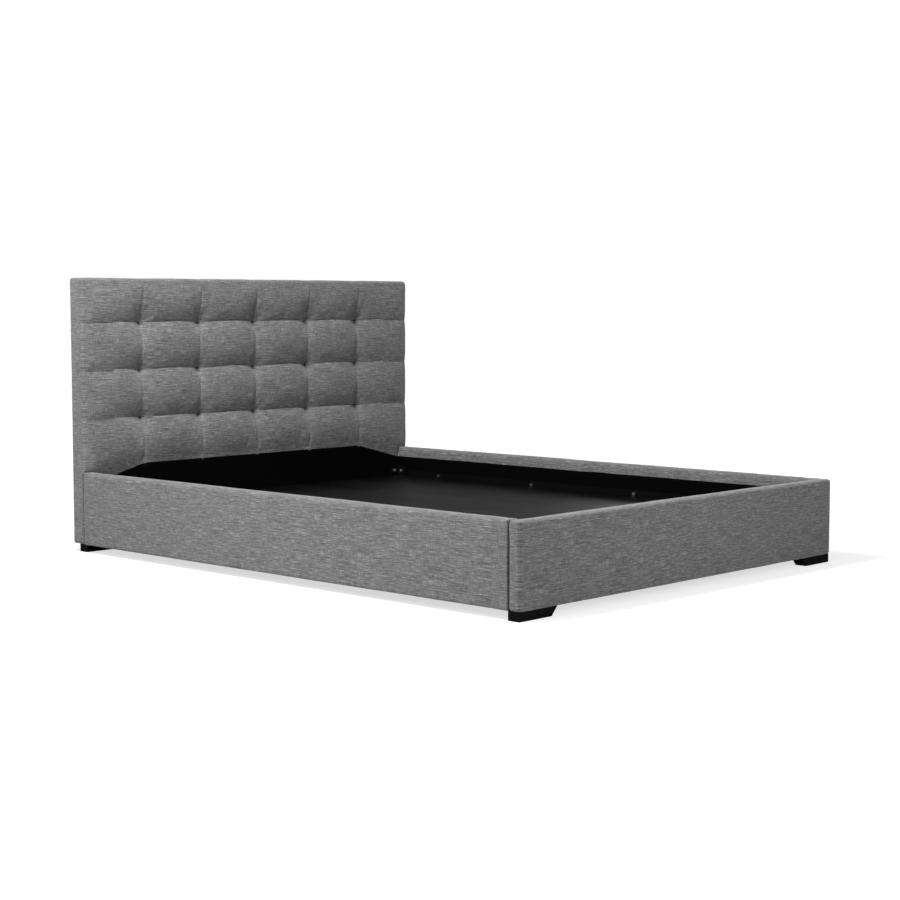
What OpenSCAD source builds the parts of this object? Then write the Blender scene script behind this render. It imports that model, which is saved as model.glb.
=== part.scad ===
// Upholstered platform bed with a tufted headboard, sized for a queen mattress.
// The origin is on the floor under the middle of the bed. +Z is up, +Y runs from the
// foot to the head, and +X is on the right of someone who stands at the foot.

/* [Bed] */
// Overall width of the headboard and of the frame
bed_w = 1650; // [1340:10:2100]
// Overall length, from the front of the foot rail to the back of the headboard
bed_l = 2156; // [1800:2:2600]
// Height of the headboard's top above the floor
head_h = 990; // [820:5:1400]
// Height of the corner feet
foot_h = 30; // [25:1:60]

/* [Rails] */
// Height of the side rails and the foot rail
rail_h = 260; // [215:1:320]
// Thickness of an upholstered rail
rail_t = 43; // [36:1:60]
// Thickness of the board inside a rail
rail_board_t = 25; // [18:1:28]
// Distance from the top of a rail's board up to where the padded top edges begin to round
rail_top_pad = 1; // [0.5:0.5:8]
// Radius of a rail's padded top edges
rail_round = 14; // [8:1:17]
// Depth that a rail's cover turns down on its inner side
cover_turn = 40; // [25:1:50]
// Width of cover and lining that is stapled under a board's bottom edge
cover_lip = 20; // [12:1:22]
// Thickness of the cover fabric and of the lining
skin_t = 1.5; // [1:0.1:2]

/* [Headboard] */
// Thickness of the upholstered headboard
head_t = 70; // [62:1:100]
// Thickness of the frame members behind the headboard's panel
member_t = 25; // [18:1:30]
// Width of the frame members
member_w = 60; // [45:1:80]
// Thickness of the headboard's panel
head_panel_t = 12; // [9:1:15]
// Distance from the headboard's frame out to where its edges begin to round
edge_pad = 1; // [0.5:0.5:6]
// Radius of the headboard's top corners, seen from the front
head_corner = 20; // [12:1:26]
// Radius of the headboard's long edges
head_round = 11; // [8.5:0.5:15]
// Width of cover that turns onto the headboard's back
back_turn = 35; // [25:1:50]
// Height of the black lining's straight top above the rails
lining_rise = 20; // [10:1:40]
// Width of the blocks that the side rails are bolted to
block_w = 165; // [150:1:190]

/* [Tufts] */
// Tufts in each row
tuft_cols = 5; // [3:1:7]
// Rows of tufts
tuft_rows = 3; // [2:1:4]
// Distance from the headboard's top down to the first row
tuft_drop = 162; // [100:1:180]
// Distance from the top of the lining up to the last row
tuft_rise = 167; // [100:1:180]
// Depth of a tuft below the headboard's face
tuft_depth = 18; // [10:1:20]
// Radius of the hollow round a tuft
tuft_r = 60; // [45:1:70]
// Radius of a tuft's covered button
button_r = 8; // [6:1:12]
// Thickness of a button
button_t = 4; // [3:0.5:6]
// Radius of the twine that holds a tuft
twine_r = 1; // [0.8:0.1:1.5]
// Radius of the disc that the twine is tied to, behind the panel
tie_disc_r = 10; // [8:1:15]
// Thickness of that disc
tie_disc_t = 2; // [1:0.5:3]

/* [Deck] */
// Depth from the rails' top to the deck
deck_drop = 117; // [90:1:130]
// Gap between the deck and the rails' inner faces
deck_gap = 10; // [9:1:16]
// Thickness of the deck panels
deck_panel_t = 15; // [12:1:18]
// Gap between two deck panels
panel_gap = 1; // [0.5:0.5:3]
// Thickness of the black cloth over the deck
deck_cloth_t = 1; // [0.8:0.1:1.5]
// Height of a cross joist
joist_h = 22; // [18:1:30]
// Width of a cross joist
joist_w = 70; // [50:1:90]
// Distance from a ledger's end to the middle of the end joist
joist_end_gap = 60; // [45:1:160]

/* [Steelwork] */
// Thickness of the ledgers, the corner brackets and the beam hangers
steel_t = 3; // [2:0.5:4]
// Width of a ledger's flat leg
ledger_w = 40; // [35:1:55]
// Height that a ledger's upright leg rises above the deck
ledger_rise = 22; // [18:1:30]
// Distance between the ends of a ledger and the ends of the side rail, at the least
ledger_end_gap = 58; // [50:1:120]
// Distance from a ledger's end to its first bolt
ledger_bolt_gap = 185; // [100:5:260]
// Bolts in each ledger
ledger_bolt_count = 4; // [3:1:5]
// Height of a ledger's bolts above the deck
ledger_bolt_rise = 8; // [8:1:14]
// Width of each leg of a corner bracket
bracket_w = 45; // [40:1:50]
// Height of a corner bracket's top above the deck
bracket_rise = 40; // [32:1:50]
// Depth of a corner bracket's bottom below the deck
bracket_fall = 83; // [75:1:90]
// Height of a corner bracket's upper bolts above the deck
upper_bolt_rise = 19; // [15:1:25]
// Depth of a corner bracket's lower bolts below the deck
lower_bolt_fall = 65; // [60:1:70]
// Distance of a corner bracket's bolts from the corner
corner_bolt_reach = 26; // [24:1:32]
// Radius of a bolt's shank
bolt_r = 4; // [3:0.5:5]
// Radius of a bolt's head
bolt_head_r = 6.5; // [6:0.5:7]
// Thickness of a bolt's head
bolt_head_t = 5; // [4:0.5:5.5]
// Length of a bolt's shank in the wood
bolt_grip = 16; // [12:1:17]

/* [Centre beam] */
// Width of the centre beam
beam_w = 45; // [35:1:60]
// Height of the centre beam
beam_h = 45; // [35:1:50]
// Clearance between the beam and its hangers
beam_clear = 1; // [0.5:0.5:2]
// Width of a beam hanger's flanges
hanger_flange = 22; // [16:1:30]
// Length of a beam hanger's cheeks and shelf
cheek_l = 45; // [30:1:60]
// Width of the headboard's middle block past the hanger
block_margin = 12; // [5:1:20]
// Distance between two centre legs
leg_pitch = 600; // [450:10:700]
// Radius of a centre leg
leg_r = 22; // [18:1:26]
// Radius of a levelling glide's foot
glide_r = 18; // [15:1:22]
// Thickness of a levelling glide's foot
glide_t = 8; // [6:1:10]
// Radius of a levelling glide's threaded stud
stud_r = 4; // [3:0.5:5]
// Radial clearance between the stud and its threaded bore
thread_clear = 0.05; // [0.02:0.01:0.1]
// How far a levelling glide screws down
glide_travel = 12; // [8:1:15]

/* [Feet] */
// Length of a foot at its top
foot_top_l = 170; // [150:1:200]
// Length of a foot on the floor
foot_base_l = 143; // [110:1:150]
// How far a foot's inner face stands past the inner face of the rail that it carries
foot_past = 3; // [1:1:6]
// Distance from a front foot to the outer faces of the foot rail
front_inset = 4; // [2:1:12]
// Distance from a head foot to the side of the headboard
head_inset = 15; // [8:1:20]
// Distance from the headboard's front to a head foot
head_foot_set = 2; // [1:1:6]
// Distance between a foot's two screws
foot_screw_pitch = 90; // [60:1:100]
// Distance from a foot's outer end to its first screw
foot_screw_inset = 25; // [18:1:30]
// Radius of a wood screw's shank
screw_r = 2.5; // [2:0.5:3]
// Radius of a wood screw's head
screw_head_r = 5; // [4:0.5:6]
// Thickness of a wood screw's head
screw_head_t = 3; // [2:0.5:4]
// Depth of a foot screw's head above the floor
foot_recess = 5; // [3:1:10]
// Length of a foot screw in the wood above the foot
foot_screw_grip = 25; // [15:1:40]

/* [Hidden] */
$fn = 64;

LEFT = -1;
RIGHT = 1;
FOOT = -1;
HEAD = 1;
HOLE_CLEAR = 0.1;   // radial clearance of every hole for a bolt, a screw or twine
OVERLAP = 1;        // how far a cutter runs past the face that it cuts
LEG_GAP = 0.3;      // gap between a glide's foot and the leg above it
LEG_COUNT = 3;      // centre legs under the beam

// Planes along the length
foot_face_y = -bed_l / 2;
foot_inner_y = foot_face_y + rail_t;
head_back_y = bed_l / 2;
head_face_y = head_back_y - head_t;
side_rail_l = head_face_y - foot_inner_y;

// Planes across the width
outer_x = bed_w / 2;
inner_x = outer_x - rail_t;

// Layers of a rail, measured from its outer face
rail_pad_t = rail_t - 2 * skin_t - rail_board_t;
rail_board_at = skin_t + rail_pad_t;
rail_board_h = rail_h - skin_t - rail_round - rail_top_pad;
rail_top_z = foot_h + rail_h;
board_bottom_z = foot_h + skin_t;

// Layers of the headboard, from its back to its face
member_y = head_back_y - skin_t - member_t;
head_panel_y = member_y - head_panel_t;
head_pad_y = head_face_y + skin_t;
head_pad_t = head_panel_y - head_pad_y;
core_x = outer_x - head_round - edge_pad;
core_top_z = head_h - head_round - edge_pad;

// Black lining across the bottom of the headboard
lining_top_z = rail_top_z + lining_rise;
lining_side_z = rail_top_z - cover_turn;

// Tufts
tuft_pitch_x = bed_w / (tuft_cols + 1);
end_tuft_x = tuft_pitch_x * (tuft_cols - 1) / 2;
tuft_top_z = head_h - tuft_drop;
tuft_low_z = lining_top_z + tuft_rise;
tuft_pitch_z = (tuft_top_z - tuft_low_z) / (tuft_rows - 1);
tuft_centre_y = head_face_y + tuft_depth - tuft_r;
tuft_floor_y = head_face_y + tuft_depth;
button_back_y = tuft_centre_y + sqrt(pow(tuft_r, 2) - pow(button_r, 2));

// Heights of the deck, from its top down
deck_z = rail_top_z - deck_drop;
deck_panel_z = deck_z - deck_cloth_t - deck_panel_t;
joist_z = deck_panel_z - joist_h;
beam_z = joist_z - beam_h;

// Outline of the deck
deck_x = inner_x - deck_gap;
deck_foot_y = foot_inner_y + deck_gap;
deck_head_y = head_face_y - deck_gap;
panel_l = (deck_head_y - deck_foot_y - 2 * panel_gap) / 3;
panel_joint_y = [deck_foot_y + panel_l + panel_gap / 2, deck_head_y - panel_l - panel_gap / 2];

// Ledgers, centred on the bed
ledger_l = 2 * (head_face_y - ledger_end_gap);
ledger_bolt_pitch = (ledger_l - 2 * ledger_bolt_gap) / (ledger_bolt_count - 1);
end_joist_y = ledger_l / 2 - joist_end_gap;
joist_y = [-end_joist_y, panel_joint_y[0], panel_joint_y[1], end_joist_y];
ledger_top_z = deck_z + ledger_rise;
ledger_bolt_z = deck_z + ledger_bolt_rise;

// Corner brackets
bracket_z = deck_z - bracket_fall;
corner_bolt_z = [deck_z - lower_bolt_fall, deck_z + upper_bolt_rise];
corner_bolt_x = inner_x - corner_bolt_reach;

// Hangers at the beam's ends, and the block behind the one at the head
hanger_half = beam_w / 2 + beam_clear + steel_t;
middle_block_x = hanger_half + hanger_flange + block_margin;

// Centre legs and levelling glides
leg_z = glide_t + LEG_GAP;
leg_h = beam_z - leg_z;
stud_l = glide_travel + leg_h / 4;
leg_screw_in_leg = leg_h / 4;
leg_screw_in_beam = beam_h / 2;
leg_y = [for (i = [0 : LEG_COUNT - 1]) (i - (LEG_COUNT - 1) / 2) * leg_pitch];

// Feet
foot_t = rail_t + foot_past - front_inset;
front_foot_y = foot_face_y + front_inset;
head_foot_y = head_face_y + head_foot_set;
front_screw_y = foot_face_y + rail_board_at + rail_board_t / 2;
head_screw_y = head_pad_y + head_pad_t / 2;

// ---------------------------------------------------------------- shared shapes

// Mirrors what is drawn on the left to the side asked for
module on_side(side) {
    if (side == LEFT) children();
    else mirror([1, 0, 0]) children();
}

// Extrudes a section, drawn across and up, along +Y
module along_y(from, length) {
    translate([0, from + length, 0]) rotate([90, 0, 0]) linear_extrude(length) children();
}

// Extrudes a section, drawn across and up, along +X
module along_x(from, length) {
    translate([from, 0, 0]) rotate([90, 0, 90]) linear_extrude(length) children();
}

// Rectangle from the origin, with round corners at its top
module round_top(size, radius) {
    square([size[0], size[1] - radius]);
    translate([radius, 0]) square([size[0] - 2 * radius, size[1]]);
    for (x = [radius, size[0] - radius]) translate([x, size[1] - radius]) circle(radius);
}

// Rectangle from the origin, with four round corners
module round_rect(size, radius) {
    translate([0, radius]) square([size[0], size[1] - 2 * radius]);
    translate([radius, 0]) square([size[0] - 2 * radius, size[1]]);
    for (x = [radius, size[0] - radius], y = [radius, size[1] - radius]) {
        translate([x, y]) circle(radius);
    }
}

module box(low, high) {
    translate(low) cube(high - low);
}

// Cylinder along Y
module rod_y(radius, from, to) {
    translate([0, to, 0]) rotate([90, 0, 0]) cylinder(r = radius, h = to - from);
}

// Cylinder along X
module rod_x(radius, from, to) {
    translate([from, 0, 0]) rotate([0, 90, 0]) cylinder(r = radius, h = to - from);
}

// ---------------------------------------------------------------- holes

// Holes for the bolts that fix the ledgers and brackets to a side rail, drawn on the left
module side_bolt_holes() {
    for (at = ledger_bolt_places()) {
        translate([0, at, ledger_bolt_z])
            rod_x(bolt_r + HOLE_CLEAR, -inner_x - bolt_grip - OVERLAP, -inner_x + steel_t + OVERLAP);
    }
    for (end = [FOOT, HEAD], z = corner_bolt_z) {
        translate([0, corner_bolt_y(end), z])
            rod_x(bolt_r + HOLE_CLEAR, -inner_x - bolt_grip - OVERLAP, -inner_x + steel_t + OVERLAP);
    }
}

// Holes for the bolts that fix the brackets to the foot rail or to the headboard
module end_bolt_holes(end) {
    wood = end == FOOT ? foot_inner_y - bolt_grip - OVERLAP : head_face_y + bolt_grip + OVERLAP;
    steel = end == FOOT ? foot_inner_y + steel_t + OVERLAP : head_face_y - steel_t - OVERLAP;
    for (side = [LEFT, RIGHT], z = corner_bolt_z) {
        translate([side * corner_bolt_x, 0, z])
            rod_y(bolt_r + HOLE_CLEAR, min(wood, steel), max(wood, steel));
    }
}

// Holes for the screws that fix a beam hanger
module hanger_screw_holes(end) {
    from = end == FOOT ? foot_inner_y - bolt_grip - OVERLAP : head_face_y - steel_t - OVERLAP;
    to = end == FOOT ? foot_inner_y + steel_t + OVERLAP : head_face_y + bolt_grip + OVERLAP;
    for (place = hanger_screw_places()) {
        translate([place[0], 0, place[1]]) rod_y(screw_r + HOLE_CLEAR, from, to);
    }
}

// Holes for the twine of every tuft
module twine_holes() {
    at_tufts() rod_y(twine_r + HOLE_CLEAR, tuft_floor_y - OVERLAP, member_y + OVERLAP);
}

// Holes for the screws that come up through the two feet at one end
module foot_screw_holes(end) {
    for (place = foot_screw_places(end)) {
        translate([place[0], place[1], 0])
            cylinder(r = screw_r + HOLE_CLEAR, h = foot_h + foot_screw_grip + OVERLAP);
    }
}

function ledger_bolt_places() =
    [for (i = [0 : ledger_bolt_count - 1]) (i - (ledger_bolt_count - 1) / 2) * ledger_bolt_pitch];

function corner_bolt_y(end) =
    end == FOOT ? foot_inner_y + corner_bolt_reach : head_face_y - corner_bolt_reach;

// Across and up, two screws on each side of the beam
function hanger_screw_places() =
    [for (side = [LEFT, RIGHT], z = [beam_z + beam_h / 4, beam_z + beam_h * 3 / 4])
        [side * (hanger_half + hanger_flange / 2), z]];

function foot_screw_x(end, i) =
    outer_x - (end == FOOT ? front_inset : head_inset) - foot_screw_inset - i * foot_screw_pitch;

function foot_screw_places(end) =
    [for (side = [LEFT, RIGHT], i = [0, 1])
        [side * foot_screw_x(end, i), end == FOOT ? front_screw_y : head_screw_y]];

// ---------------------------------------------------------------- rails

// Outer section of a rail, inset on every side
module rail_outline(inset) {
    translate([inset, inset])
        round_top([rail_t - 2 * inset, rail_h - 2 * inset], rail_round - inset);
}

// Section of the room that the board and what lies under the top padding take
module rail_core_section() {
    translate([rail_board_at, -OVERLAP]) square([rail_t, rail_board_h + skin_t + OVERLAP]);
}

module rail_padding_section() {
    difference() {
        rail_outline(skin_t);
        rail_core_section();
    }
}

module rail_cover_section() {
    difference() {
        rail_outline(0);
        rail_outline(skin_t);
        translate([cover_lip, -OVERLAP]) square([rail_t, rail_h - cover_turn + OVERLAP]);
    }
}

module rail_lining_section() {
    translate([rail_t - skin_t, 0]) square([skin_t, rail_h - cover_turn]);
    translate([rail_t - cover_lip, 0]) square([cover_lip, skin_t]);
}

module place_side_rail(side) {
    on_side(side) {
        difference() {
            translate([-outer_x, 0, foot_h]) along_y(foot_inner_y, side_rail_l) children();
            side_bolt_holes();
        }
    }
}

module side_rail_board(side) {
    color("burlywood") place_side_rail(side)
        translate([rail_board_at, skin_t]) square([rail_board_t, rail_board_h]);
}

module side_rail_padding(side) {
    color("lightyellow") place_side_rail(side) rail_padding_section();
}

module side_rail_cover(side) {
    color("dimgray") place_side_rail(side) rail_cover_section();
}

module side_rail_lining(side) {
    color("black") place_side_rail(side) rail_lining_section();
}

// The foot rail's outer shape, with round upright edges at its front
module foot_rail_shape(inset) {
    intersection() {
        translate([0, foot_face_y, foot_h])
            along_x(inset - outer_x, bed_w - 2 * inset) rail_outline(inset);
        translate([inset - outer_x, foot_inner_y + rail_round, 0])
            mirror([0, 1, 0]) linear_extrude(rail_top_z + OVERLAP)
                round_top([bed_w - 2 * inset, rail_t + rail_round - inset], rail_round - inset);
    }
}

foot_board_x = outer_x - skin_t - rail_pad_t;

module foot_rail_core() {
    box(
        [-foot_board_x, foot_face_y + rail_board_at, board_bottom_z],
        [foot_board_x, foot_inner_y - skin_t, board_bottom_z + rail_board_h]
    );
}

module foot_rail_board() {
    color("burlywood") difference() {
        foot_rail_core();
        end_bolt_holes(FOOT);
        hanger_screw_holes(FOOT);
        foot_screw_holes(FOOT);
    }
}

// The padding covers the board's face, its two ends and its top
module foot_rail_padding() {
    color("lightyellow") difference() {
        foot_rail_shape(skin_t);
        foot_rail_core();
    }
}

// Cuts the cover open under the rail, behind the stapled lip
module foot_cover_opening() {
    box(
        [-foot_board_x, foot_face_y + cover_lip, foot_h - OVERLAP],
        [foot_board_x, foot_inner_y + OVERLAP, foot_h + skin_t]
    );
}

// Region of the foot rail's inner face that the lining covers, between the side rails
module foot_lining_zone() {
    box(
        [-inner_x, foot_inner_y - skin_t, foot_h],
        [inner_x, foot_inner_y + OVERLAP, rail_top_z - cover_turn]
    );
}

module foot_rail_cover() {
    color("dimgray") difference() {
        foot_rail_shape(0);
        foot_rail_shape(skin_t);
        foot_cover_opening();
        foot_lining_zone();
        foot_screw_holes(FOOT);
    }
}

module foot_rail_lining() {
    color("black") difference() {
        box(
            [-inner_x, foot_inner_y - skin_t, foot_h + skin_t],
            [inner_x, foot_inner_y, rail_top_z - cover_turn]
        );
        end_bolt_holes(FOOT);
        hanger_screw_holes(FOOT);
    }
}

// ---------------------------------------------------------------- headboard

// Runs its children at every tuft
module at_tufts() {
    for (row = [0 : tuft_rows - 1], col = [0 : tuft_cols - 1]) {
        translate([(col - (tuft_cols - 1) / 2) * tuft_pitch_x, 0, tuft_top_z - row * tuft_pitch_z])
            children();
    }
}

// The headboard's outer shape, inset on every side, with a hollow at each tuft
module headboard_shape(inset) {
    difference() {
        intersection() {
            translate([inset - outer_x, 0, foot_h + inset])
                along_y(head_face_y + inset, head_t - 2 * inset)
                    round_top([bed_w - 2 * inset, head_h - foot_h - 2 * inset], head_corner - inset);
            translate([inset - outer_x, head_face_y + inset, foot_h])
                linear_extrude(head_h)
                    round_rect([bed_w - 2 * inset, head_t - 2 * inset], head_round - inset);
            translate([0, head_face_y + inset, foot_h + inset])
                along_x(-outer_x, bed_w)
                    round_top([head_t - 2 * inset, head_h - foot_h - 2 * inset], head_round - inset);
        }
        at_tufts() translate([0, tuft_centre_y, 0]) sphere(tuft_r + inset);
    }
}

// Everything inside the padding: the panel and the frame behind it
module headboard_core() {
    box(
        [-core_x, head_panel_y, board_bottom_z - OVERLAP],
        [core_x, head_back_y, core_top_z]
    );
}

// Room for a block in the headboard's padding
module block_room(from_x, to_x) {
    box([from_x, head_pad_y, board_bottom_z], [to_x, head_panel_y, lining_side_z]);
}

module side_block_room(side) {
    on_side(side) block_room(-core_x, block_w - core_x);
}

module middle_block_room() {
    block_room(-middle_block_x, middle_block_x);
}

// Region across the bottom of the headboard that the lining covers, seen from the front
module lining_section() {
    polygon([
        [-inner_x, foot_h + skin_t],
        [-inner_x, lining_side_z],
        [-end_tuft_x, lining_top_z],
        [end_tuft_x, lining_top_z],
        [inner_x, lining_side_z],
        [inner_x, foot_h + skin_t]
    ]);
}

module back_zone(thick) {
    box(
        [back_turn - outer_x, head_back_y - thick, foot_h + back_turn],
        [outer_x - back_turn, head_back_y + OVERLAP, head_h - back_turn]
    );
}

module headboard_panel() {
    color("burlywood") difference() {
        box([-core_x, head_panel_y, board_bottom_z], [core_x, member_y, core_top_z]);
        twine_holes();
    }
}

module headboard_member(low, high) {
    color("tan") box([low[0], member_y, low[1]], [high[0], member_y + member_t, high[1]]);
}

module headboard_stile(side) {
    on_side(side)
        headboard_member([-core_x, board_bottom_z], [member_w - core_x, core_top_z]);
}

// A cross member of the headboard's frame, from one stile to the other
module headboard_rail(z) {
    headboard_member([member_w - core_x, z], [core_x - member_w, z + member_w]);
}

middle_rail_z = tuft_low_z + tuft_pitch_z / 2 - member_w / 2;

module headboard_block(side) {
    color("burlywood") difference() {
        side_block_room(side);
        end_bolt_holes(HEAD);
        foot_screw_holes(HEAD);
    }
}

module headboard_middle_block() {
    color("burlywood") difference() {
        middle_block_room();
        hanger_screw_holes(HEAD);
    }
}

module headboard_padding() {
    color("lightyellow") difference() {
        headboard_shape(skin_t);
        headboard_core();
        side_block_room(LEFT);
        side_block_room(RIGHT);
        middle_block_room();
        twine_holes();
    }
}

module headboard_cover() {
    color("dimgray") difference() {
        headboard_shape(0);
        headboard_shape(skin_t);
        back_zone(skin_t);
        along_y(head_face_y - OVERLAP, skin_t + OVERLAP) lining_section();
        twine_holes();
        foot_screw_holes(HEAD);
    }
}

module headboard_lining() {
    color("black") difference() {
        along_y(head_face_y, skin_t) lining_section();
        end_bolt_holes(HEAD);
        hanger_screw_holes(HEAD);
    }
}

module headboard_back_cover() {
    color("dimgray") intersection() {
        back_zone(skin_t);
        headboard_shape(0);
    }
}

// Each button's rim rests on the hollow's wall
module tuft_buttons() {
    color("gray") at_tufts() rod_y(button_r, button_back_y - button_t, button_back_y);
}

// Twine from each button to a disc behind the panel
module tuft_ties() {
    color("ivory") at_tufts() {
        rod_y(twine_r, button_back_y, member_y + tie_disc_t / 2);
        rod_y(tie_disc_r, member_y, member_y + tie_disc_t);
    }
}

// ---------------------------------------------------------------- deck

module deck_panel(i) {
    from = deck_foot_y + i * (panel_l + panel_gap);
    color("saddlebrown")
        box([-deck_x, from, deck_panel_z], [deck_x, from + panel_l, deck_panel_z + deck_panel_t]);
}

module deck_cloth() {
    color("black") box([-deck_x, deck_foot_y, deck_z - deck_cloth_t], [deck_x, deck_head_y, deck_z]);
}

module joist(i) {
    color("tan") box(
        [-deck_x, joist_y[i] - joist_w / 2, joist_z],
        [deck_x, joist_y[i] + joist_w / 2, deck_panel_z]
    );
}

// ---------------------------------------------------------------- steelwork

// Angle under the joists' ends, with its other leg up against the rail
module ledger(side) {
    color("black") on_side(side) difference() {
        translate([-inner_x, 0, joist_z - steel_t]) along_y(-ledger_l / 2, ledger_l) union() {
            square([steel_t, ledger_top_z - joist_z + steel_t]);
            square([ledger_w, steel_t]);
        }
        side_bolt_holes();
    }
}

// A bolt along +X or -X, head first, whose head rests at the origin's plane
module bolt() {
    rotate([0, 90, 0]) cylinder(r = bolt_head_r, h = bolt_head_t);
    rotate([0, -90, 0]) cylinder(r = bolt_r, h = steel_t + bolt_grip);
}

module ledger_bolts() {
    color("silver") for (side = [LEFT, RIGHT], y = ledger_bolt_places()) {
        on_side(side) translate([steel_t - inner_x, y, ledger_bolt_z]) bolt();
    }
}

// Upright angle in a corner of the frame, drawn at the left
module corner_bracket(side, end) {
    face_y = end == FOOT ? foot_inner_y : head_face_y;
    inward = end == FOOT ? 1 : -1;
    color("black") difference() {
        on_side(side) translate([-inner_x, face_y, bracket_z]) {
            mirror([0, inward == 1 ? 0 : 1, 0]) linear_extrude(bracket_fall + bracket_rise) {
                square([steel_t, bracket_w]);
                square([bracket_w, steel_t]);
            }
        }
        on_side(side) side_bolt_holes();
        end_bolt_holes(end);
    }
}

module corner_bolts() {
    color("silver") for (side = [LEFT, RIGHT], z = corner_bolt_z) {
        for (end = [FOOT, HEAD]) {
            on_side(side) translate([steel_t - inner_x, corner_bolt_y(end), z]) bolt();
        }
        translate([side * corner_bolt_x, foot_inner_y + steel_t, z]) rotate([0, 0, 90]) bolt();
        translate([side * corner_bolt_x, head_face_y - steel_t, z]) rotate([0, 0, -90]) bolt();
    }
}

// ---------------------------------------------------------------- centre beam

beam_foot_y = foot_inner_y + steel_t + beam_clear;
beam_head_y = head_face_y - steel_t - beam_clear;

module centre_beam() {
    color("tan") difference() {
        box([-beam_w / 2, beam_foot_y, beam_z], [beam_w / 2, beam_head_y, joist_z]);
        leg_screw_holes();
    }
}

// A steel stirrup that holds one end of the beam: a flanged back plate, two cheeks and a shelf
module beam_hanger(end) {
    face_y = end == FOOT ? foot_inner_y : head_face_y;
    color("black") difference() {
        translate([0, face_y, 0]) mirror([0, end == FOOT ? 0 : 1, 0]) {
            box(
                [-hanger_half - hanger_flange, 0, beam_z - steel_t],
                [hanger_half + hanger_flange, steel_t, joist_z]
            );
            for (side = [LEFT, RIGHT]) {
                translate([side * (hanger_half - steel_t / 2) - steel_t / 2, 0, beam_z - steel_t])
                    cube([steel_t, cheek_l, beam_h + steel_t]);
            }
            box([-hanger_half, 0, beam_z - steel_t], [hanger_half, cheek_l, beam_z]);
        }
        hanger_screw_holes(end);
    }
}

module wood_screw(grip) {
    cylinder(r = screw_head_r, h = screw_head_t);
    cylinder(r = screw_r, h = screw_head_t + grip);
}

module beam_screws() {
    color("silver") for (place = hanger_screw_places()) {
        translate([place[0], foot_inner_y + steel_t + screw_head_t, place[1]])
            rotate([90, 0, 0]) wood_screw(steel_t + bolt_grip);
        translate([place[0], head_face_y - steel_t - screw_head_t, place[1]])
            rotate([-90, 0, 0]) wood_screw(steel_t + bolt_grip);
    }
}

module leg_screw_holes() {
    for (y = leg_y) translate([0, y, beam_z - leg_screw_in_leg - OVERLAP])
        cylinder(r = screw_r + HOLE_CLEAR, h = leg_screw_in_leg + leg_screw_in_beam + 2 * OVERLAP);
}

module centre_leg(i) {
    color("black") difference() {
        translate([0, leg_y[i], leg_z]) cylinder(r = leg_r, h = leg_h);
        leg_screw_holes();
        translate([0, leg_y[i], leg_z - OVERLAP])
            cylinder(r = stud_r + thread_clear, h = stud_l + 2 * OVERLAP);
    }
}

module centre_leg_screws() {
    color("silver") for (y = leg_y) translate([0, y, beam_z - leg_screw_in_leg])
        cylinder(r = screw_r, h = leg_screw_in_leg + leg_screw_in_beam);
}

module levelling_glide(i) {
    color("darkslategray") translate([0, leg_y[i], 0]) {
        cylinder(r = glide_r, h = glide_t);
        cylinder(r = stud_r, h = glide_t + stud_l);
    }
}

// ---------------------------------------------------------------- feet

// Bracket foot on the left, seen from the front: upright outside, slanting inside
module foot_shape(outer, y) {
    translate([-outer, 0, 0]) along_y(y, foot_t)
        polygon([[0, 0], [foot_base_l, 0], [foot_top_l, foot_h], [0, foot_h]]);
}

module corner_foot(side, end) {
    outer = outer_x - (end == FOOT ? front_inset : head_inset);
    color("black") difference() {
        on_side(side) foot_shape(outer, end == FOOT ? front_foot_y : head_foot_y);
        foot_screw_holes(end);
        for (place = foot_screw_places(end)) {
            translate([place[0], place[1], -OVERLAP])
                cylinder(r = screw_head_r + HOLE_CLEAR, h = foot_recess + screw_head_t + OVERLAP);
        }
    }
}

module foot_screws() {
    color("silver") for (end = [FOOT, HEAD], place = foot_screw_places(end)) {
        translate([place[0], place[1], foot_recess])
            wood_screw(foot_h - foot_recess - screw_head_t + foot_screw_grip);
    }
}

// ---------------------------------------------------------------- nodes

headboard_panel();
headboard_stile(LEFT);  // headboard_stile_left
headboard_stile(RIGHT);  // headboard_stile_right
headboard_rail(core_top_z - member_w);  // headboard_top_rail
headboard_rail(middle_rail_z);  // headboard_middle_rail
headboard_rail(board_bottom_z);  // headboard_bottom_rail
headboard_block(LEFT);  // headboard_block_left
headboard_middle_block();  // headboard_block_middle
headboard_block(RIGHT);  // headboard_block_right
headboard_padding();
headboard_cover();
headboard_lining();
headboard_back_cover();
tuft_buttons();
tuft_ties();
side_rail_board(LEFT);  // side_rail_board_left
side_rail_board(RIGHT);  // side_rail_board_right
side_rail_padding(LEFT);  // side_rail_padding_left
side_rail_padding(RIGHT);  // side_rail_padding_right
side_rail_cover(LEFT);  // side_rail_cover_left
side_rail_cover(RIGHT);  // side_rail_cover_right
side_rail_lining(LEFT);  // side_rail_lining_left
side_rail_lining(RIGHT);  // side_rail_lining_right
foot_rail_board();
foot_rail_padding();
foot_rail_cover();
foot_rail_lining();
corner_foot(LEFT, FOOT);  // front_foot_left
corner_foot(RIGHT, FOOT);  // front_foot_right
corner_foot(LEFT, HEAD);  // head_foot_left
corner_foot(RIGHT, HEAD);  // head_foot_right
foot_screws();
corner_bracket(LEFT, FOOT);  // corner_bracket_front_left
corner_bracket(RIGHT, FOOT);  // corner_bracket_front_right
corner_bracket(LEFT, HEAD);  // corner_bracket_head_left
corner_bracket(RIGHT, HEAD);  // corner_bracket_head_right
corner_bolts();
ledger(LEFT);  // ledger_left
ledger(RIGHT);  // ledger_right
ledger_bolts();
deck_panel(0);  // deck_panel_foot
deck_panel(1);  // deck_panel_middle
deck_panel(2);  // deck_panel_head
deck_cloth();
joist(0);  // joist_1
joist(1);  // joist_2
joist(2);  // joist_3
joist(3);  // joist_4
centre_beam();
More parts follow.
